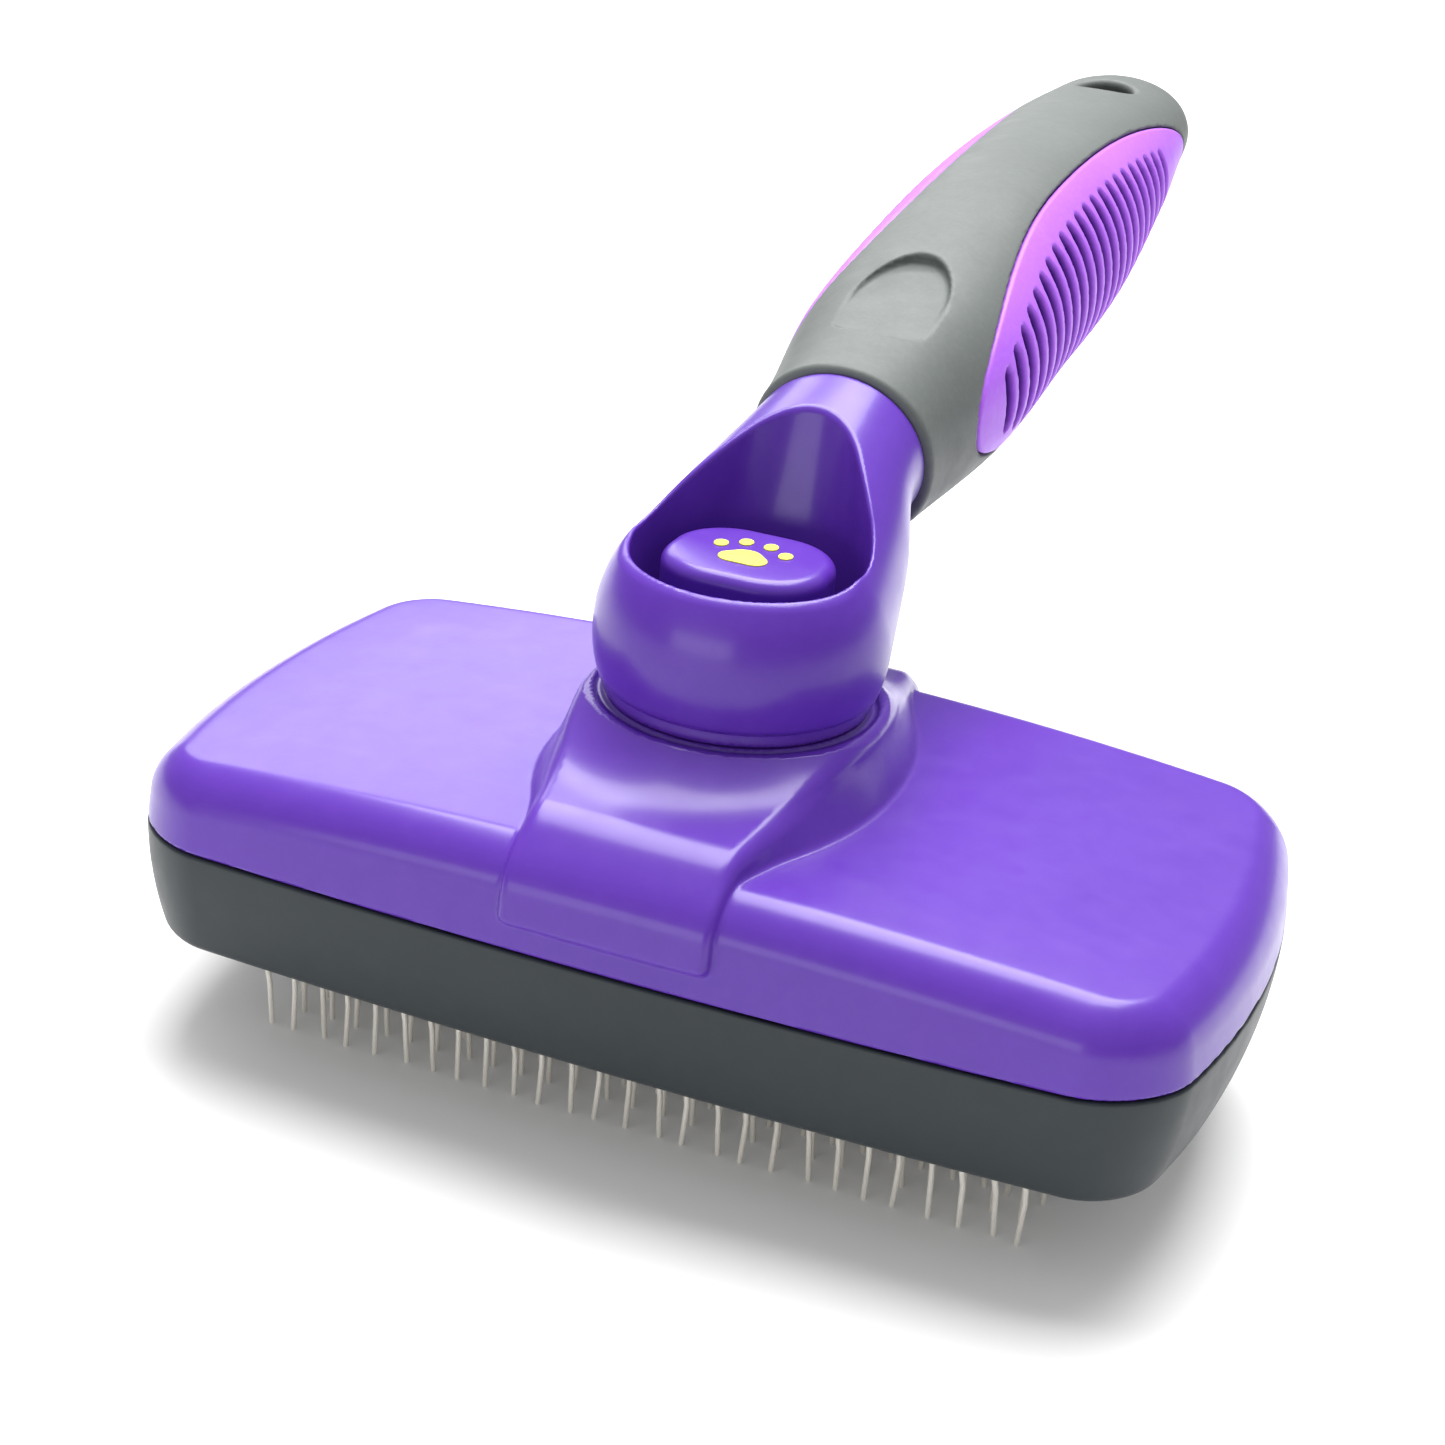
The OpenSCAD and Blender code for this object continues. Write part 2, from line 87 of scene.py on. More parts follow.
def sstep(t):
    t = np.clip(t, 0, 1)
    return t * t * t * (t * (6 * t - 15) + 10)


def table(v, u):
    """Smooth curve through evenly spaced values v, u from 0 to 1."""
    v = np.asarray(v, float)
    n = len(v) - 1
    s = np.clip(u, 0, 1) * n
    i = np.minimum(np.floor(s).astype(int), n - 1)
    f = s - i
    p0, p1, p2, p3 = v[np.maximum(i - 1, 0)], v[i], v[i + 1], v[np.minimum(i + 2, n)]
    return 0.5 * (2 * p1 + (p2 - p0) * f + (2 * p0 - 5 * p1 + 4 * p2 - p3) * f * f + (3 * p1 - p0 - 3 * p2 + p3) * f ** 3)


def plan(X, Y):
    """Signed distance to the head's bowed, rounded outline."""
    be = END_BOW * (1 - (Y / B) ** 2)
    x = np.where(np.abs(X) < A + be, X / (1 + be / A), X - np.sign(X) * be)
    bs = SIDE_BOW * (1 - (x / A) ** 2)
    y = np.where(np.abs(Y) < B + bs, Y / (1 + bs / B), Y - np.sign(Y) * bs)
    qx, qy = np.abs(x) - A + CORNER, np.abs(y) - B + CORNER
    return np.hypot(np.maximum(qx, 0), np.maximum(qy, 0)) + np.minimum(np.maximum(qx, qy), 0) - CORNER


def cyl(X, Y, x, y, r):
    return np.hypot(X - x, Y - y) - r


def cover_top(X):
    return COVER_H + CROWN * (1 - (X / A) ** 2)


def f_cover(X, Y, Z):
    d = plan(X, Y)
    H = cover_top(X)
    body = rint(d + 0.12 * Z, Z - (H + 0.22), 4.6)
    body = smax(body, Z - H - 0.02 * np.clip(-d - 5, 0, 6), 0.35)
    aY = np.abs(Y)
    # strap over the front and back edges
    strap = rint(rint(body - 1.08, np.abs(X) - 10.2, 0.9), 2.7 - Z, 0.9)
    # hub between the straps, flaring out towards the cover
    u = aY / 30.0
    zs = table([15.0, 14.7, 14.2, 13.5, 12.7, 11.9, 11.0], u)
    cone = 16.4 - 0.9 * np.maximum(np.hypot(X, Y) - 14.6, 0)
    zt = np.minimum(smax(zs, cone, 3.6), 16.4)
    wb = table([17.1, 16.9, 16.2, 14.7, 12.3, 10.4, 10.2], u)
    wr = table([14.8, 14.4, 13.4, 12.0, 10.8, 10.2, 10.2], u)
    s = np.clip((Z - 8.6) / (zs - 8.6), 0, 1)
    hw = wr + (wb - wr) * (1 - s) ** 1.25
    hub = rint((Z - zt) * 0.86, d + 0.12 * Z - 1.06, 6.0)
    hub = rint(np.abs(X) - hw, hub, 1.3)
    hub = rint(hub, 2.7 - Z, 0.9)
    f = smin(smin(strap, hub, 0.5), body, 0.7)
    f = rint(f, -Z, 0.3)
    # seat and bore of the neck
    R = np.hypot(X, Y)
    f = smax(f, -np.maximum(R - 11.9, HUB_TOP - Z), 0.25)
    f = smax(f, -np.maximum(R - 13.2, SADDLE_H + 0.02 - Z), 0.2)
    f = smax(f, 0.42 - np.hypot(R - 13.25, Z - SADDLE_H), 0.3)
    # inside
    hollow = rint(d + WALL + 0.12 * Z, Z - (H - WALL), 2.0)
    f = smax(f, -hollow, 0.3)
    boss = np.maximum(np.minimum(cyl(X, Y, GUIDE_X, 0, 2.4), cyl(X, Y, -GUIDE_X, 0, 2.4)), np.maximum(-7.0 - Z, Z - 6))
    guide = np.maximum(R - 6.5, np.maximum(6.4 - Z, Z - 9))
    f = np.minimum(np.minimum(f, boss), guide)
    return np.maximum(f, 3.05 - R)


def nearest_pin(X, Y):
    """Distance in plan to the nearest pin's axis."""
    r = np.clip(np.round(Y / PY + (PIN_ROWS - 1) / 2), 0, PIN_ROWS - 1)
    best = None
    for dr in (-1, 0, 1):
        rr = np.clip(r + dr, 0, PIN_ROWS - 1)
        n = PIN_COLS - (rr % 2)
        c = np.clip(np.round((X - ROW_SHIFT * (rr % 2)) / PX + (n - 1) / 2), 0, n - 1)
        d = np.hypot(X - (c - (n - 1) / 2) * PX - ROW_SHIFT * (rr % 2), Y - (rr - (PIN_ROWS - 1) / 2) * PY)
        best = d if best is None else np.minimum(best, d)
    return best


def tray_in(u):
    return 2.1 * np.clip(u, 0, 1.1) ** 2.1


def f_tray(X, Y, Z):
    d = plan(X, Y)
    u = -Z / TRAY_H
    f = rint(d + tray_in(u), -TRAY_H - Z, 1.15)
    f = rint(f, Z + GAP, 0.3)
    inner = np.maximum(d + 3.6 - 1.6 * sstep((Z + 10) / 9), -TRAY_H + 1.8 - Z)
    f = smax(f, -inner, 0.25)
    px, py = np.abs(X) - POST_X, np.abs(Y) - POST_Y
    rp = np.hypot(px, py)
    f = np.minimum(f, np.maximum(rp - 2.2, np.maximum(-TRAY_H + 1.0 - Z, Z - 2.2)))
    f = smax(f, -np.maximum(rp - 2.05, Z + TRAY_H - 1.4), 0.2)
    holes = 0.9 - nearest_pin(X, Y)
    return np.where(Z < -TRAY_H + 3, smax(f, holes, 0.12), f)


def round_cone(X, Y, Z, a, b, r1, r2):
    ba = [b[i] - a[i] for i in range(3)]
    l2 = sum(v * v for v in ba)
    rr = r1 - r2
    a2 = l2 - rr * rr
    il2 = 1 / l2
    pa = [X - a[0], Y - a[1], Z - a[2]]
    y = pa[0] * ba[0] + pa[1] * ba[1] + pa[2] * ba[2]
    z = y - l2
    x2 = sum((pa[i] * l2 - ba[i] * y) ** 2 for i in range(3))
    y2, z2 = y * y * l2, z * z * l2
    k = np.sign(rr) * rr * rr * x2
    return np.where(np.sign(z) * a2 * z2 > k, np.sqrt(x2 + z2) * il2 - r2,
                    np.where(np.sign(y) * a2 * y2 < k, np.sqrt(x2 + y2) * il2 - r1,
                             (np.sqrt(x2 * a2 * il2) + y * rr) * il2 - r1))


def well(X, Y, Z):
    """Thumb well: round at the bottom, teardrop in plan at the top."""
    t = np.clip((Z - WELL_Z) / 23.5, 0.02, 1.2)
    r1 = WELL_R - 0.2 + 0.9 * t
    r2 = (WELL_R - 0.2) * (1 - t) + 5.6 * t
    h = 10.4 * t
    x = np.abs(X)
    b = (r1 - r2) / h
    a = np.sqrt(1 - b * b)
    k = -b * x + a * Y
    d = np.where(k < 0, np.hypot(x, Y) - r1, np.where(k > a * h, np.hypot(x, Y - h) - r2, a * x + b * Y - r1))
    return rint(d, WELL_Z - Z, 1.2)


def f_neck(X, Y, Z):
    f = round_cone(X, Y, Z, (0, 0, BULB_Z), (0, 24.6, 33.6), BULB_R, 9.0)
    f = rint(f, SADDLE_H + 1.5 - Z, 0.5)
    R = np.hypot(X, Y)
    collar = rint(rint(R - 12.85, SADDLE_H + 0.08 - Z, 0.25), Z - (SADDLE_H + 1.8), 0.2)
    # waist below and beside the joint with the grip
    along = Y * 0.9156 + (Z - BULB_Z) * 0.402
    lift = (Z - BULB_Z) * 0.9156 - Y * 0.402
    low = sstep(0.46 - 0.62 * lift / np.maximum(np.hypot(X, lift), 1))
    f = f + 2.3 * low * np.exp(-((along - 21.2) / 4.2) ** 2)
    f = smin(f, collar, 0.3)
    w = (Y - GRIP_Y0) * CS + (Z - SEAM_Z) * SN
    f = rint(f, w, 0.5)
    v = well(X, Y, Z)
    # the lip is low at the front and climbs along the neck
    dip = Y + 3.6
    f = rint(f, (Z - 30.4 - 0.25 * (dip + np.hypot(dip, 2.0)) - 0.09 * np.maximum(Y - 1.0, 0) ** 2) * 0.8, 0.7)
    f = rint(f, -v, 0.55)
    f = smin(f, np.maximum(R - 11.8, np.maximum(HUB_TOP - Z, Z - SADDLE_H - 1)), 0.05)
    f = smax(f, -np.maximum(R - BORE_R, Z - 30), 0.3)
    return np.minimum(f, f_tang(X, Y, Z))


def f_tang(X, Y, Z):
    w = (Y - GRIP_Y0) * TCS + (Z - SEAM_Z) * TSN
    ax = np.hypot(X, -(Y - GRIP_Y0) * TSN + (Z - SEAM_Z) * TCS)
    return np.minimum(np.maximum(ax - 6.4, np.maximum(-0.5 - w, w - 41.5)), np.maximum(ax - 5.0, np.maximum(40 - w, w - 84)))


def grip_z(y):
    return table([33.4, 36.7, 40.2, 42.9, 46.5, 49.4], (y - 24) / 104) + np.maximum(y - 128, 0) * 0.15 + np.minimum(y - 24, 0) * 0.16


def grip_w(y):
    return table([9.7, 12.7, 12.9, 13.0, 11.7, 9.5], (y - 24) / 104)


def grip_t(y):
    return table([9.7, 11.8, 12.9, 12.5, 9.7, 6.5], (y - 24) / 104)


def stations(Y, Z):
    """Station y0 and offset v of a point, for sections that lean back by SLOPE."""
    y0 = Y + 0.0 * Z
    for _ in range(4):
        v = (Z - grip_z(y0)) / CS
        y0 = Y + v * SN
    return y0, v


def f_grip_outer(X, Y, Z):
    y0, v = stations(Y, Z)
    e = np.clip((y0 - (GRIP_Y1 - 10.5)) / 10.6, 0, 1.4)
    w, t = grip_w(y0), grip_t(y0)
    rho = (np.abs(X / w) ** 2.08 + np.abs(v / t) ** 2.08 + e ** 3.0) ** (1 / 2.08)
    return (rho - 1) * np.minimum(w, t) * 0.95, y0, v


PAD_YC, PAD_L, PAD_UP, PAD_DN = 78.2, 43.8, math.radians(60), math.radians(50)


def pad_window(X, Y, Z):
    """Negative inside a side pad's lens-shaped window, about in millimetres; also station and angle."""
    y0, v = stations(Y, Z)
    w, t = grip_w(y0), grip_t(y0)
    a = np.arctan2(v / t, np.abs(X) / w)
    lim = np.where(a > 0, PAD_UP, PAD_DN)
    u = (y0 - PAD_YC) / PAD_L
    q = (np.abs(u) ** 2.2 + np.abs(a / lim) ** 2.2) ** (1 / 2.2)
    # divide by the local slope of q to get a length
    qq = np.maximum(q, 0.2)
    gu = np.abs(u) ** 1.2 / qq ** 1.2 / PAD_L
    ga = np.abs(a / lim) ** 1.2 / qq ** 1.2 / (lim * t)
    return (q - 1) / np.maximum(np.hypot(gu, ga), 0.012), y0, v, a


def f_recess(X, Y, Z):
    """Arch-shaped blank recess on the grip's top."""
    u = (Y - 42) * CS + (Z - grip_z(42.0)) * SN
    v = -(Y - 42) * SN + (Z - grip_z(42.0)) * CS
    arch = (np.hypot(X / 5.1, np.maximum(u + 4.0, 0) / 11.0) - 1) * 4.6
    arch = rint(arch, -8.4 - 1.5 * (1 - X * X / 26) - u, 1.2)
    return rint(arch, 10.15 + 0.055 * u - v, 0.5)


def f_grip(X, Y, Z):
    f, y0, v = f_grip_outer(X, Y, Z)
    w = (Y - GRIP_Y0) * CS + (Z - SEAM_Z) * SN
    f = rint(f, 0.04 - w, 0.8)
    win = pad_window(X, Y, Z)[0]
    f = smax(f, -np.maximum(win, -2.2 - f_grip_outer(X, Y, Z)[0]), 0.35)
    f = rint(f, -f_recess(X, Y, Z), 0.35)
    hz = float(grip_z(np.float64(HOLE_Y)))
    hole = np.hypot(X, (Y - HOLE_Y) * CS + (Z - hz) * SN) - HOLE_R
    f = rint(f, -hole, 1.0)
    return np.maximum(f, -f_tang(X, Y, Z))


GROOVES, GROOVE_Y, GROOVE_P = 22, 41.8, 3.1


def f_pad(X, Y, Z):
    o, y0, v = f_grip_outer(X, Y, Z)
    win, _, _, a = pad_window(X, Y, Z)
    f = rint(o, win + 0.12, 0.5)
    f = np.maximum(f, -2.15 - o)
    # grooves: across the handle, round-ended, inside a plain border
    k = np.clip(np.round((y0 - GROOVE_Y) / GROOVE_P), 0, GROOVES - 1)
    d = np.abs(y0 - GROOVE_Y - k * GROOVE_P)
    edge = win + 3.4
    half = 0.95 * np.clip(0.6 - 0.22 * edge, 0.28, 1)
    g = rint(d - half, edge, 0.5)
    g = rint(g, -1.35 - o, 0.5)
    f = rint(f, -g, 0.3)
    return np.maximum(f, -X)


def f_button(X, Y, Z):
    qx, qy = np.abs(X) - 8.1 + 6, np.abs(Y) - 6.8 + 6
    d = np.hypot(np.maximum(qx, 0), np.maximum(qy, 0)) + np.minimum(np.maximum(qx, qy), 0) - 6
    top = Z - FACE_Z + 0.035 * np.maximum(np.hypot(X * 0.8, Y) - 5.0, 0) ** 2 * 0.3
    f = rint(d, top, 1.35)
    f = np.maximum(f, WELL_Z + 0.4 - Z)
    R = np.hypot(X, Y)
    f = np.maximum(f, -np.maximum(R - 5.5, Z - (28.4 - 1.8)))
    return np.maximum(f, -np.maximum(R - 4.2, Z - 28.4))


def f_emblem(X, Y, Z):
    y = Y - 0.2
    pad = smin(np.hypot(X, y + 1.5) - 1.75, np.minimum(np.hypot(X + 1.15, y + 2.0), np.hypot(X - 1.15, y + 2.0)) - 1.25, 0.6)
    toes = np.minimum(np.hypot((np.abs(X) - 1.25) / 0.82, y - 2.2), np.hypot((np.abs(X) - 3.25) / 0.82, y - 0.75)) - 0.85
    return rint(np.maximum(np.minimum(pad, toes), FACE_Z - Z), Z - FACE_Z - 0.14, 0.05)
# ===== GEOMETRY END =====


# ---- surfaces ------------------------------------------------------------
K = 8
CORNERS = [(i, j, k) for i in (0, 1) for j in (0, 1) for k in (0, 1)]
EDGES = [(a, b) for a in CORNERS for b in CORNERS if a < b and sum(abs(a[i] - b[i]) for i in range(3)) == 1]


def gradient(f, P, e):
    g = np.empty_like(P)
    for i in range(3):
        d = np.zeros(3)
        d[i] = e
        p, m = P + d, P - d
        g[:, i] = (f(p[:, 0], p[:, 1], p[:, 2]) - f(m[:, 0], m[:, 1], m[:, 2])) / (2 * e)
    return g


def surface(f, lo, hi, h):
    """Vertices, normals and quads of f = 0 inside a box, by surface nets at step h pulled onto f."""
    lo, hi = np.array(lo, float), np.array(hi, float)
    nb = np.ceil((hi - lo) / (h * K)).astype(int)
    n = nb * K + 1
    c = [lo[i] + (np.arange(nb[i]) + 0.5) * K * h for i in range(3)]
    cell = f(c[0][:, None, None], c[1][None, :, None], c[2][None, None, :]) + np.zeros(nb)
    V = np.full(n, 9.0, np.float32)
    V[:-1, :-1, :-1] = np.repeat(np.repeat(np.repeat(np.where(cell < 0, -9.0, 9.0), K, 0), K, 1), K, 2)
    near = np.argwhere(np.abs(cell) < 1.35 * math.sqrt(3) / 2 * K * h)
    off = np.arange(K + 1) * h
    for s in range(0, len(near), 256):
        b = near[s:s + 256]
        base = lo + b * K * h
        X = base[:, 0, None, None, None] + off[None, :, None, None]
        Y = base[:, 1, None, None, None] + off[None, None, :, None]
        Z = base[:, 2, None, None, None] + off[None, None, None, :]
        vals = f(X, Y, Z) + np.zeros((len(b), K + 1, K + 1, K + 1))
        for q, (i, j, k) in zip(vals, b * K):
            V[i:i + K + 1, j:j + K + 1, k:k + K + 1] = q
    V[V == 0] = 1e-6
    S = V < 0
    cnt = sum(S[a:a + S.shape[0] - 1, b:b + S.shape[1] - 1, d:d + S.shape[2] - 1].astype(np.int8) for a, b, d in CORNERS)
    mixed = (cnt > 0) & (cnt < 8)
    cells = np.argwhere(mixed)
    index = np.full(mixed.shape, -1, np.int64)
    index[mixed] = np.arange(len(cells))
    P, m = np.zeros((len(cells), 3)), np.zeros(len(cells))
    for a, b in EDGES:
        va = V[tuple((cells + a).T)].astype(float)
        vb = V[tuple((cells + b).T)].astype(float)
        cross = (va < 0) != (vb < 0)
        t = np.where(cross, va / np.where(cross, va - vb, 1), 0)
        P[cross] += np.array(a) + t[cross, None] * (np.array(b) - np.array(a))
        m[cross] += 1
    P = lo + h * (cells + P / m[:, None])
    quads = []
    for ax in range(3):
        u, w = (ax + 1) % 3, (ax + 2) % 3
        A0 = [slice(1, -1)] * 3
        A1 = [slice(1, -1)] * 3
        A0[ax], A1[ax] = slice(0, -1), slice(1, None)
        s0, s1 = S[tuple(A0)], S[tuple(A1)]
        for rise in (True, False):
            e = np.argwhere((s0 & ~s1) if rise else (~s0 & s1))
            e[:, u] += 1
            e[:, w] += 1
            du, dw = np.zeros(3, int), np.zeros(3, int)
            du[u], dw[w] = 1, 1
            ring = [e - du - dw, e - dw, e, e - du]
            q = np.stack([index[tuple(r.T)] for r in ring], 1)
            quads.append(q if rise else q[:, ::-1])
    Q = np.concatenate(quads)
    Q = Q[(Q >= 0).all(1)]
    for step in range(4):
        g = gradient(f, P, 0.04)
        v = f(P[:, 0], P[:, 1], P[:, 2])
        d = -v[:, None] * g / np.maximum((g * g).sum(1), 0.3)[:, None]
        length = np.linalg.norm(d, axis=1)
        P += d * np.minimum(1, 0.45 * h / np.maximum(length, 1e-9))[:, None]
    N = gradient(f, P, 0.06)
    N /= np.maximum(np.linalg.norm(N, axis=1), 1e-9)[:, None]
    return P, N, Q


def to_frame(P):
    return (np.asarray(P, float) + np.array([0, -Y_MID, TIP])) / 1000.0


def new_object(name, P, faces, normals=None):
    me = bpy.data.meshes.new(name)
    P = to_frame(P)
    faces = np.asarray(faces, np.int32)
    k = faces.shape[1]
    me.vertices.add(len(P))
    me.vertices.foreach_set("co", P.astype(np.float32).ravel())
    me.loops.add(faces.size)
    me.loops.foreach_set("vertex_index", faces.ravel())
    me.polygons.add(len(faces))
    me.polygons.foreach_set("loop_start", np.arange(len(faces), dtype=np.int32) * k)
    me.polygons.foreach_set("use_smooth", np.ones(len(faces), bool))
    me.update(calc_edges=True)
    me.validate()
    if normals is not None:
        me.normals_split_custom_set_from_vertices(normals.astype(np.float32))
    ob = bpy.data.objects.new(name, me)
    bpy.context.scene.collection.objects.link(ob)
    return ob


def field_object(name, f, lo, hi, h):
    P, N, Q = surface(f, lo, hi, h)
    used = np.unique(Q)
    remap = np.full(len(P), -1)
    remap[used] = np.arange(len(used))
    return new_object(name, P[used], remap[Q], N[used])


def add(ob, body, slot, *nodes):
    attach(ob, body)
    if nodes:
        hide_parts(*nodes)
    return ob


def tubes(paths, r, sides, tip=True):
    """One mesh of round wires along the given paths, with rounded ends."""
    P, F, base = [], [], 0
    ang = np.arange(sides) * 2 * math.pi / sides
    for path in paths:
        path = np.asarray(path, float)
        T = np.gradient(path, axis=0)
        T /= np.linalg.norm(T, axis=1)[:, None]
        ref = np.array([1.0, 0, 0]) if abs(T[0][0]) < 0.9 else np.array([0, 1.0, 0])
        U = np.cross(T, ref)
        U /= np.linalg.norm(U, axis=1)[:, None]
        W = np.cross(T, U)
        rad = [0.45 * r, 0.85 * r, r] + [r] * (len(path) - 1)
        first = [path[0], path[0] + T[0] * 0.12 * r, path[0] + T[0] * 0.5 * r]
        pts = first + list(path[1:])
        TU, TW = [U[0]] * 3 + list(U[1:]), [W[0]] * 3 + list(W[1:])
        for p, q, u, w in zip(pts, rad, TU, TW):
            P.append(p + q * (np.cos(ang)[:, None] * u + np.sin(ang)[:, None] * w))
        m = len(pts)
        for j in range(m - 1):
            for k in range(sides):
                a, b = base + j * sides + k, base + j * sides + (k + 1) % sides
                F.append((a, b, b + sides, a + sides))
        for row, flip in ((0, True), (m - 1, False)):
            P.append(np.array([pts[0] if row == 0 else pts[-1]]))
            cidx = base + m * sides + (0 if row == 0 else 1)
            for k in range(0, sides, 2):
                a, b, c2 = (base + row * sides + (k + i) % sides for i in range(3))
                F.append((cidx, c2, b, a) if flip else (cidx, a, b, c2))
        base += m * sides + 2
    return np.concatenate(P), np.array(F)

# ---- materials -----------------------------------------------------------
def lin(r, g, b):
    return tuple((c / 255 / 12.92 if c / 255 <= 0.04045 else ((c / 255 + 0.055) / 1.055) ** 2.4) for c in (r, g, b)) + (1.0,)


class Finish:
    """A principled material with its own small node kit."""

    def __init__(self, name, metallic=0.0, specular=0.5, coat=0.0, coat_rough=0.1, sheen=0.0, ior=1.48):
        m = bpy.data.materials.new(name)
        m.use_nodes = True
        self.m, self.t = m, m.node_tree
        self.b = next(n for n in self.t.nodes if n.type == "BSDF_PRINCIPLED")
        self.b.inputs["Metallic"].default_value = metallic
        self.b.inputs["IOR"].default_value = ior
        self.b.inputs["Specular IOR Level"].default_value = specular
        self.b.inputs["Coat Weight"].default_value = coat
        self.b.inputs["Coat Roughness"].default_value = coat_rough
        self.b.inputs["Sheen Weight"].default_value = sheen
        self.b.inputs["Sheen Roughness"].default_value = 0.4
        self.co = self.t.nodes.new("ShaderNodeTexCoord").outputs["Object"]

    def noise(self, scale, detail=3.0, rough=0.55, stretch=None):
        n = self.t.nodes.new("ShaderNodeTexNoise")
        n.inputs["Scale"].default_value = scale
        n.inputs["Detail"].default_value = detail
        n.inputs["Roughness"].default_value = rough
        src = self.co
        if stretch:
            mp = self.t.nodes.new("ShaderNodeMapping")
            mp.inputs["Scale"].default_value = stretch
            self.t.links.new(src, mp.inputs["Vector"])
            src = mp.outputs["Vector"]
        self.t.links.new(src, n.inputs["Vector"])
        return n.outputs["Fac"]

    def span(self, fac, lo, hi, a=0.3, b=0.7):
        n = self.t.nodes.new("ShaderNodeMapRange")
        n.inputs["From Min"].default_value = a
        n.inputs["From Max"].default_value = b
        n.inputs["To Min"].default_value = lo
        n.inputs["To Max"].default_value = hi
        self.t.links.new(fac, n.inputs["Value"])
        return n.outputs["Result"]

    def mix(self, fac, a, b):
        n = self.t.nodes.new("ShaderNodeMix")
        n.data_type = "RGBA"
        self.t.links.new(fac, n.inputs["Factor"])
        for k, v in (("A", a), ("B", b)):
            sock = [s for s in n.inputs if s.name == k and s.type == "RGBA"][0]
            if isinstance(v, tuple):
                sock.default_value = v
            else:
                self.t.links.new(v, sock)
        return [s for s in n.outputs if s.type == "RGBA"][0]

    def colour(self, c):
        self.t.links.new(c, self.b.inputs["Base Color"])

    def roughness(self, r):
        self.t.links.new(r, self.b.inputs["Roughness"])

    def bump(self, *layers):
        prev = None
        for fac, strength, distance in layers:
            n = self.t.nodes.new("ShaderNodeBump")
            n.inputs["Strength"].default_value = strength
            n.inputs["Distance"].default_value = distance
            self.t.links.new(fac, n.inputs["Height"])
            if prev is not None:
                self.t.links.new(prev, n.inputs["Normal"])
            prev = n.outputs["Normal"]
        self.t.links.new(prev, self.b.inputs["Normal"])

    def attribute(self, name):
        n = self.t.nodes.new("ShaderNodeAttribute")
        n.attribute_type = "GEOMETRY"
        n.attribute_name = name
        return n.outputs["Fac"]


def plastic(name, base, shade, lift, rough, grain=2600.0, depth=0.00002, spec=0.5, coat=0.0):
    f = Finish(name, specular=spec, coat=coat, coat_rough=0.16)
    body = f.mix(f.span(f.noise(38.0, 4.0), 0, 1), lin(*base), lin(*shade))
    f.colour(f.mix(f.span(f.noise(420.0, 5.0, 0.7), 0, 0.10, 0.45, 0.75), body, lin(*lift)))
    f.roughness(f.span(f.noise(260.0, 5.0, 0.65), rough - 0.03, rough + 0.05))
    f.bump((f.noise(grain, 2.0), 0.1, depth))
    return f.m


def rubber(name, base, shade, lift, rough, painted_groove_shade=None):
    f = Finish(name, specular=0.3, sheen=0.03, ior=1.5)
    body = f.mix(f.span(f.noise(60.0, 4.0), 0, 1), lin(*base), lin(*shade))
    col = f.mix(f.span(f.noise(1500.0, 3.0, 0.7), 0, 0.25, 0.45, 0.7), body, lin(*lift))
    # painted shade: the groove attribute mixes in a darker colour that stands in for the shade inside the pad grooves
    if painted_groove_shade:
        col = f.mix(f.attribute("painted_groove_shade"), col, lin(*painted_groove_shade))
    f.colour(col)
    f.roughness(f.span(f.noise(300.0, 4.0), rough - 0.05, rough + 0.06))
    f.bump((f.noise(2200.0, 3.0, 0.7), 0.3, 0.00004), (f.noise(500.0, 2.0), 0.08, 0.00005))
    return f.m


def metal(name, base, shade, rough, stretch, scale=900.0, metallic=1.0):
    f = Finish(name, metallic=metallic, specular=0.5)
    f.colour(f.mix(f.span(f.noise(scale * 0.3, 3.0, 0.6, stretch), 0, 1), lin(*base), lin(*shade)))
    f.roughness(f.span(f.noise(scale, 4.0, 0.6, stretch), rough - 0.06, rough + 0.1))
    f.bump((f.noise(scale * 2, 2.0, 0.6, stretch), 0.15, 0.00001))
    return f.m


MATS = {
    "purple_plastic": plastic("purple_plastic", (86, 43, 159), (81, 40, 152), (112, 68, 184), 0.31, spec=0.32, coat=0.2),
    "grey_plastic": plastic("grey_plastic", (46, 52, 55), (43, 49, 52), (58, 64, 68), 0.42, spec=0.25),
    "dark_plastic": plastic("dark_plastic", (42, 44, 48), (38, 40, 43), (64, 66, 70), 0.45),
    "natural_plastic": plastic("natural_plastic", (212, 210, 204), (204, 203, 198), (226, 225, 220), 0.42),
    "cushion": rubber("cushion", (36, 36, 38), (31, 31, 33), (52, 52, 54), 0.7),
    "grip_rubber": rubber("grip_rubber", (91, 96, 94), (86, 91, 89), (105, 109, 107), 0.52),
    # lilac pads: the last colour is painted shade for the grooves
    "lilac_rubber": rubber("lilac_rubber", (166, 96, 222), (158, 88, 215), (182, 116, 234), 0.45, painted_groove_shade=(54, 10, 114)),
    "yellow_print": plastic("yellow_print", (238, 232, 84), (230, 222, 72), (246, 242, 140), 0.45),
    "pin_steel": metal("pin_steel", (242, 238, 230), (224, 219, 210), 0.36, (1.0, 1.0, 0.2), metallic=0.4),
    "screw_steel": metal("screw_steel", (190, 190, 188), (168, 168, 166), 0.34, (1.0, 1.0, 0.5)),
}


def paint(ob, slot):
    ob.data.materials.clear()
    ob.data.materials.append(MATS[slot])


# ---- pieces --------------------------------------------------------------
def piece(name, f, lo, hi, h, body, slot, node):
    ob = field_object(name, f, lo, hi, h)
    add(ob, body, slot, node)
    paint(ob, slot)
    return ob


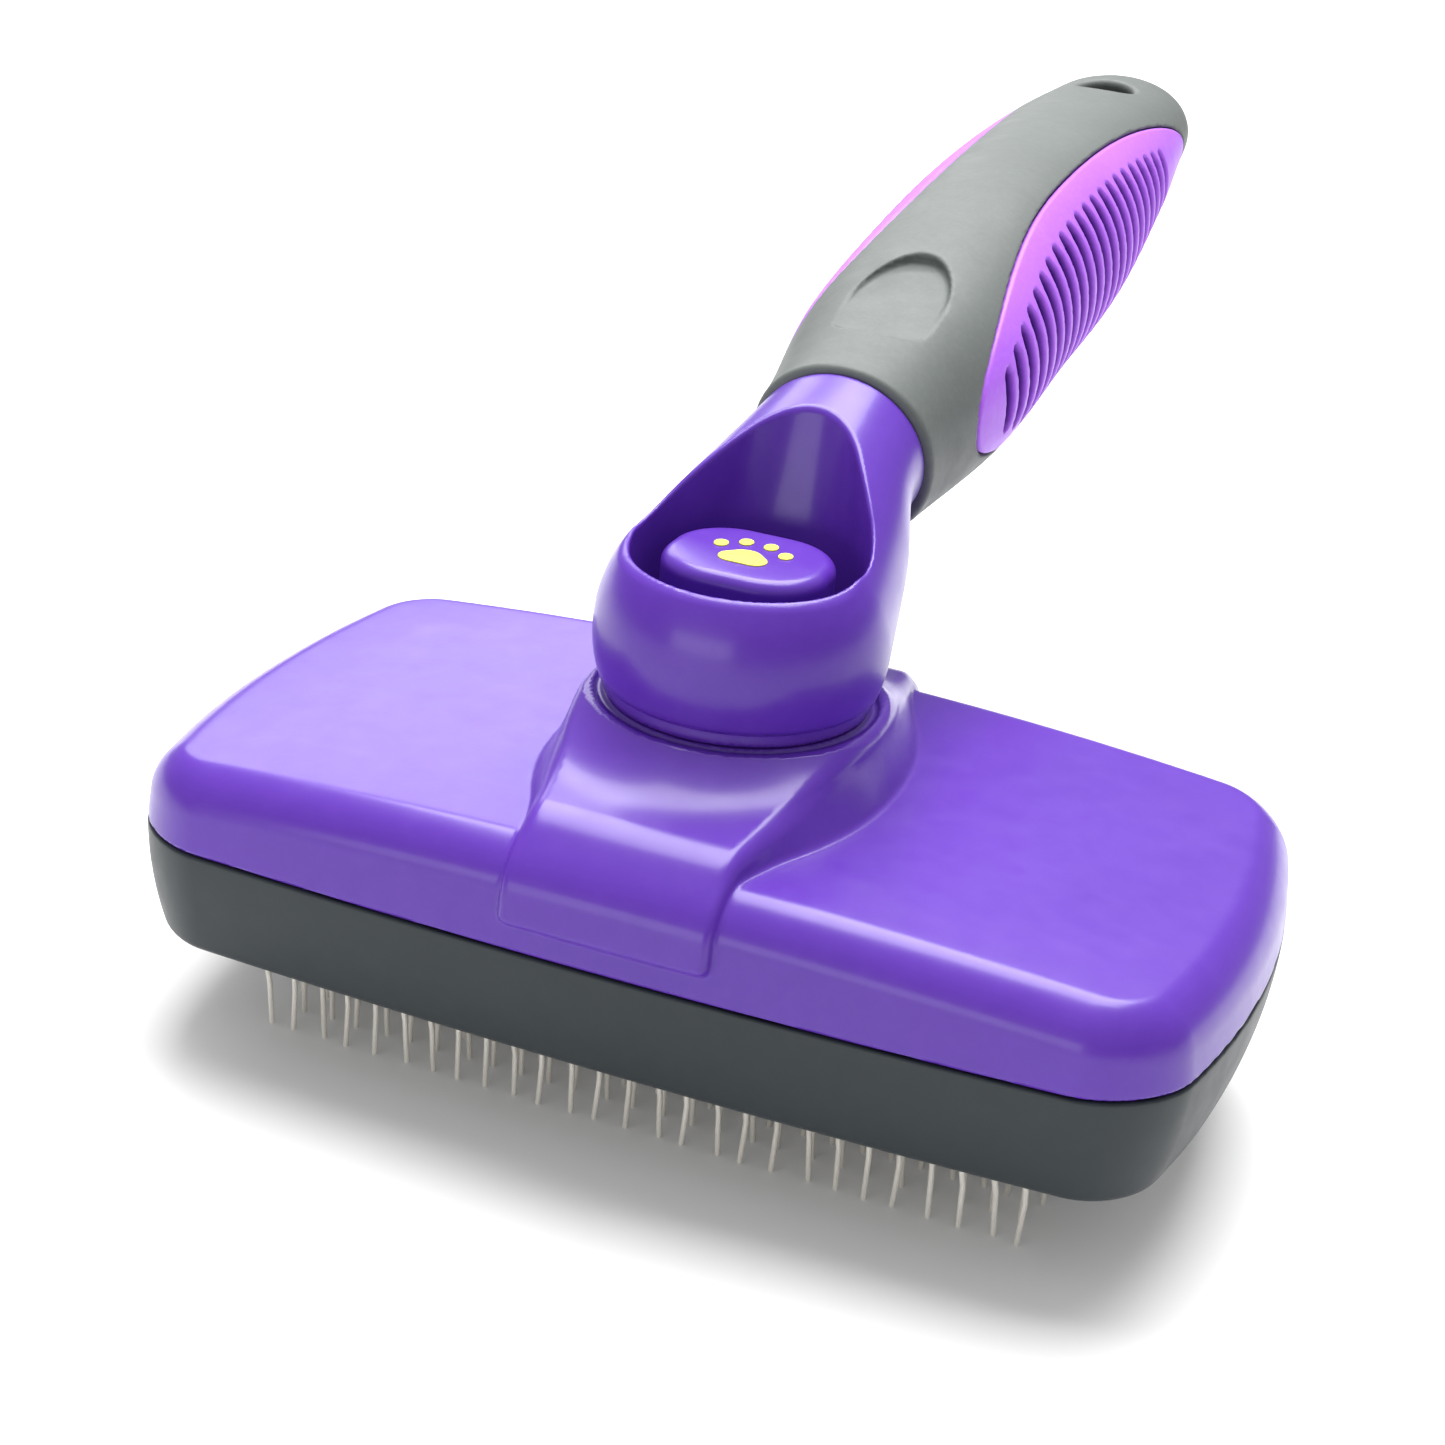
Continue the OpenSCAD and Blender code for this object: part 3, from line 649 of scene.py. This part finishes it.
FINE = 1.0
piece("cover_shell", f_cover, (-56, -32, -8.2), (56, 32, 17.6), 0.4 * FINE, "brush_body", "purple_plastic", "head_cover")
piece("tray_shell", f_tray, (-55.6, -30.6, -12.6), (55.6, 30.6, 3.0), 0.36 * FINE, "stripper", "grey_plastic", "strip_tray")
piece("neck_shell", f_neck, (-15.6, -15.6, 9.0), (15.6, 109, 56), 0.34 * FINE, "brush_body", "purple_plastic", "neck")
piece("grip_shell", f_grip, (-14.6, 21, 22), (14.6, 136, 58), 0.4 * FINE, "brush_body", "grip_rubber", "grip_sleeve")


def pad_piece(side):
    P, N, Q = surface(f_pad, (4, 31, 26), (14.6, 125, 58), 0.26 * FINE)
    used = np.unique(Q)
    remap = np.full(len(P), -1)
    remap[used] = np.arange(len(used))
    P, N, Q = P[used], N[used], remap[Q]
    o = f_grip_outer(P[:, 0], P[:, 1], P[:, 2])[0]
    win = pad_window(P[:, 0], P[:, 1], P[:, 2])[0]
    # painted shade: inside the ribbed field, the deeper a point lies below the pad's outer surface, the more of the
    # dark groove colour it gets
    painted_groove_shade = np.where(win < -1.2, np.clip((-o - 0.25) / 0.6, 0, 1), 0)
    if side < 0:
        P = P * np.array([-1, 1, 1])
        N = N * np.array([-1, 1, 1])
        Q = Q[:, ::-1]
    name = "side_pad_" + ("right" if side > 0 else "left")
    ob = new_object(name + "_soft", P, Q, N)
    at = ob.data.attributes.new("painted_groove_shade", "FLOAT", "POINT")
    at.data.foreach_set("value", painted_groove_shade.astype(np.float32))
    add(ob, "brush_body", "lilac_rubber", name)
    paint(ob, "lilac_rubber")
    return ob


pad_piece(1)
pad_piece(-1)
piece("thumb_button", f_button, (-9, -7.6, 20), (9, 7.6, 31.4), 0.24 * FINE, "stripper", "purple_plastic", "push_button")
piece("paw_print", f_emblem, (-4.6, -4, 30.3), (4.6, 4, 31.1), 0.08, "stripper", "yellow_print", "button_emblem")

rng = np.random.default_rng(7)
fields, edges = [], []
for r in range(PIN_ROWS):
    n = PIN_COLS - (r % 2)
    for c in range(n):
        x, y = (c - (n - 1) / 2) * PX + ROW_SHIFT * (r % 2), (r - (PIN_ROWS - 1) / 2) * PY
        knee, tip = rng.uniform(0.05, 0.42), rng.uniform(-0.42, 0.45)
        side = rng.uniform(-0.18, 0.18)
        z = np.array([-TIP, -20.6, -18.8, -17.0, -15.6, -14.2, -12.8, -11.4, -7.25])
        s = (z + 11.4) / (-TIP + 11.4)
        lean = np.where(z > -11.4, 0, -knee * np.sin(np.clip(s * 1.9, 0, 1) * math.pi) + tip * np.clip(s, 0, 1) ** 2)
        path = np.stack([x + lean, y + side * np.clip(s, 0, 1) + 0.3 * lean, z], 1)
        edge = r in (0, PIN_ROWS - 1) and c in (0, n - 1, n // 2)
        (edges if edge else fields).append(path)
for name, paths, node in (("bristle_wires", fields, "bristle_pins"), ("edge_wires", edges, "edge_pins")):
    P, F = tubes(paths, PIN_D / 2 + 0.03, 10)
    ob = new_object(name, P, F)
    add(ob, "brush_body", "pin_steel", node)
    paint(ob, "pin_steel")

turns, wire, R0 = 6, 0.4, 4.25
z0, z1 = HUB_TOP + 0.5 + wire, 28.4 - 3 - wire
t = np.linspace(0, turns, turns * 40 + 1)
end = 2.15 * wire
rise = np.where(t < 1, end * t, np.where(t > turns - 1, z1 - z0 - end * (turns - t), end + (z1 - z0 - 2 * end) * (t - 1) / (turns - 2)))
coil = np.stack([R0 * np.cos(2 * math.pi * t), R0 * np.sin(2 * math.pi * t), z0 + rise], 1)
P, F = tubes([coil], wire, 12)
spring = new_object("coil_spring", P, F)
add(spring, "brush_body", "screw_steel", "return_spring")
paint(spring, "screw_steel")
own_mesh(spring)

CARRIED = {"pin_base": "dark_plastic", "pin_pad": "cushion", "pusher_frame": "natural_plastic", "plunger": "natural_plastic",
           "spring_washer": "screw_steel", "stop_ring": "cushion", "plunger_screw": "screw_steel", "tray_screws": "screw_steel",
           "base_screws": "screw_steel", "neck_screws": "screw_steel"}
for node, slot in CARRIED.items():
    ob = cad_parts[node]
    paint(ob, slot)

# ---- floor, light, camera ------------------------------------------------
me = bpy.data.meshes.new("floor")
s = 3.0
me.from_pydata([(-s, -s, 0), (s, -s, 0), (s, s, 0), (-s, s, 0)], [], [(0, 1, 2, 3)])
floor = bpy.data.objects.new("floor", me)
bpy.context.scene.collection.objects.link(floor)
floor.location.z = -0.0001
fm = bpy.data.materials.new("paper")
fm.use_nodes = True
fb = next(n for n in fm.node_tree.nodes if n.type == "BSDF_PRINCIPLED")
fb.inputs["Base Color"].default_value = (0.78, 0.78, 0.78, 1)
fb.inputs["Emission Color"].default_value = (1, 1, 1, 1)
fb.inputs["Emission Strength"].default_value = 0.07
fb.inputs["Roughness"].default_value = 0.9
fb.inputs["Specular IOR Level"].default_value = 0.1
# the paper is seen from above only, so the underside of the brush can be looked at
ft = fm.node_tree
side_on = ft.nodes.new("ShaderNodeNewGeometry")
clear = ft.nodes.new("ShaderNodeBsdfTransparent")
pick = ft.nodes.new("ShaderNodeMixShader")
ft.links.new(side_on.outputs["Backfacing"], pick.inputs[0])
ft.links.new(fb.outputs[0], pick.inputs[1])
ft.links.new(clear.outputs[0], pick.inputs[2])
ft.links.new(pick.outputs[0], next(n for n in ft.nodes if n.type == "OUTPUT_MATERIAL").inputs["Surface"])
me.materials.append(fm)

world = bpy.data.worlds.new("studio")
bpy.context.scene.world = world
world.use_nodes = True
wt = world.node_tree
for n in list(wt.nodes):
    wt.nodes.remove(n)
out = wt.nodes.new("ShaderNodeOutputWorld")
co = wt.nodes.new("ShaderNodeTexCoord")
sep = wt.nodes.new("ShaderNodeSeparateXYZ")
ramp = wt.nodes.new("ShaderNodeMapRange")
ramp.inputs["From Min"].default_value, ramp.inputs["From Max"].default_value = 0.0, 0.8
ramp.inputs["To Min"].default_value, ramp.inputs["To Max"].default_value = 0.2, 0.75
dim = wt.nodes.new("ShaderNodeBackground")
dim.inputs["Color"].default_value = (1, 1, 1, 1)
white = wt.nodes.new("ShaderNodeBackground")
white.inputs["Color"].default_value = (1, 1, 1, 1)
white.inputs["Strength"].default_value = 1.0
lp = wt.nodes.new("ShaderNodeLightPath")
mx = wt.nodes.new("ShaderNodeMixShader")
wt.links.new(co.outputs["Generated"], sep.inputs[0])
wt.links.new(sep.outputs["Z"], ramp.inputs["Value"])
wt.links.new(ramp.outputs["Result"], dim.inputs["Strength"])
wt.links.new(lp.outputs["Is Camera Ray"], mx.inputs[0])
wt.links.new(dim.outputs[0], mx.inputs[1])
wt.links.new(white.outputs[0], mx.inputs[2])
wt.links.new(mx.outputs[0], out.inputs["Surface"])


def softbox(name, at, to, size, watts, colour=(1, 1, 1)):
    l = bpy.data.lights.new(name, "AREA")
    l.shape = "RECTANGLE"
    l.size, l.size_y = size
    l.energy = watts
    l.color = colour
    o = bpy.data.objects.new(name, l)
    bpy.context.scene.collection.objects.link(o)
    o.location = at
    o.rotation_euler = (Vector(to) - Vector(at)).to_track_quat("-Z", "Y").to_euler()
    return o


softbox("key", (-0.06, 0.20, 0.64), (0, 0, 0.03), (0.55, 0.55), 10.8)
softbox("back", (-0.50, 0.66, 0.42), (0, 0.02, 0.03), (0.5, 0.3), 1.6)
softbox("fill", (-0.10, -0.62, 0.10), (0, 0, 0.01), (0.5, 0.14), 0.8)

sc = bpy.context.scene
sc.view_settings.view_transform = "Standard"
sc.view_settings.look = "None"

cam = bpy.data.cameras.new("photo_view")
cam.lens = 2735.265 / 1445 * 36
cam.sensor_width = 36
cam.clip_start, cam.clip_end = 0.01, 20
camo = bpy.data.objects.new("photo_view", cam)
sc.collection.objects.link(camo)
right = Vector((0.923902, 0.373787, 0.081775)).normalized()
back = Vector((0.309993, -0.856504, 0.412682)).normalized()
up = back.cross(right).normalized()
right = up.cross(back)
where = to_frame([80.2877, -225.0766, 121.3621])
camo.matrix_world = Matrix(((right.x, up.x, back.x, where[0]), (right.y, up.y, back.y, where[1]), (right.z, up.z, back.z, where[2]), (0, 0, 0, 1)))
sc.camera = camo
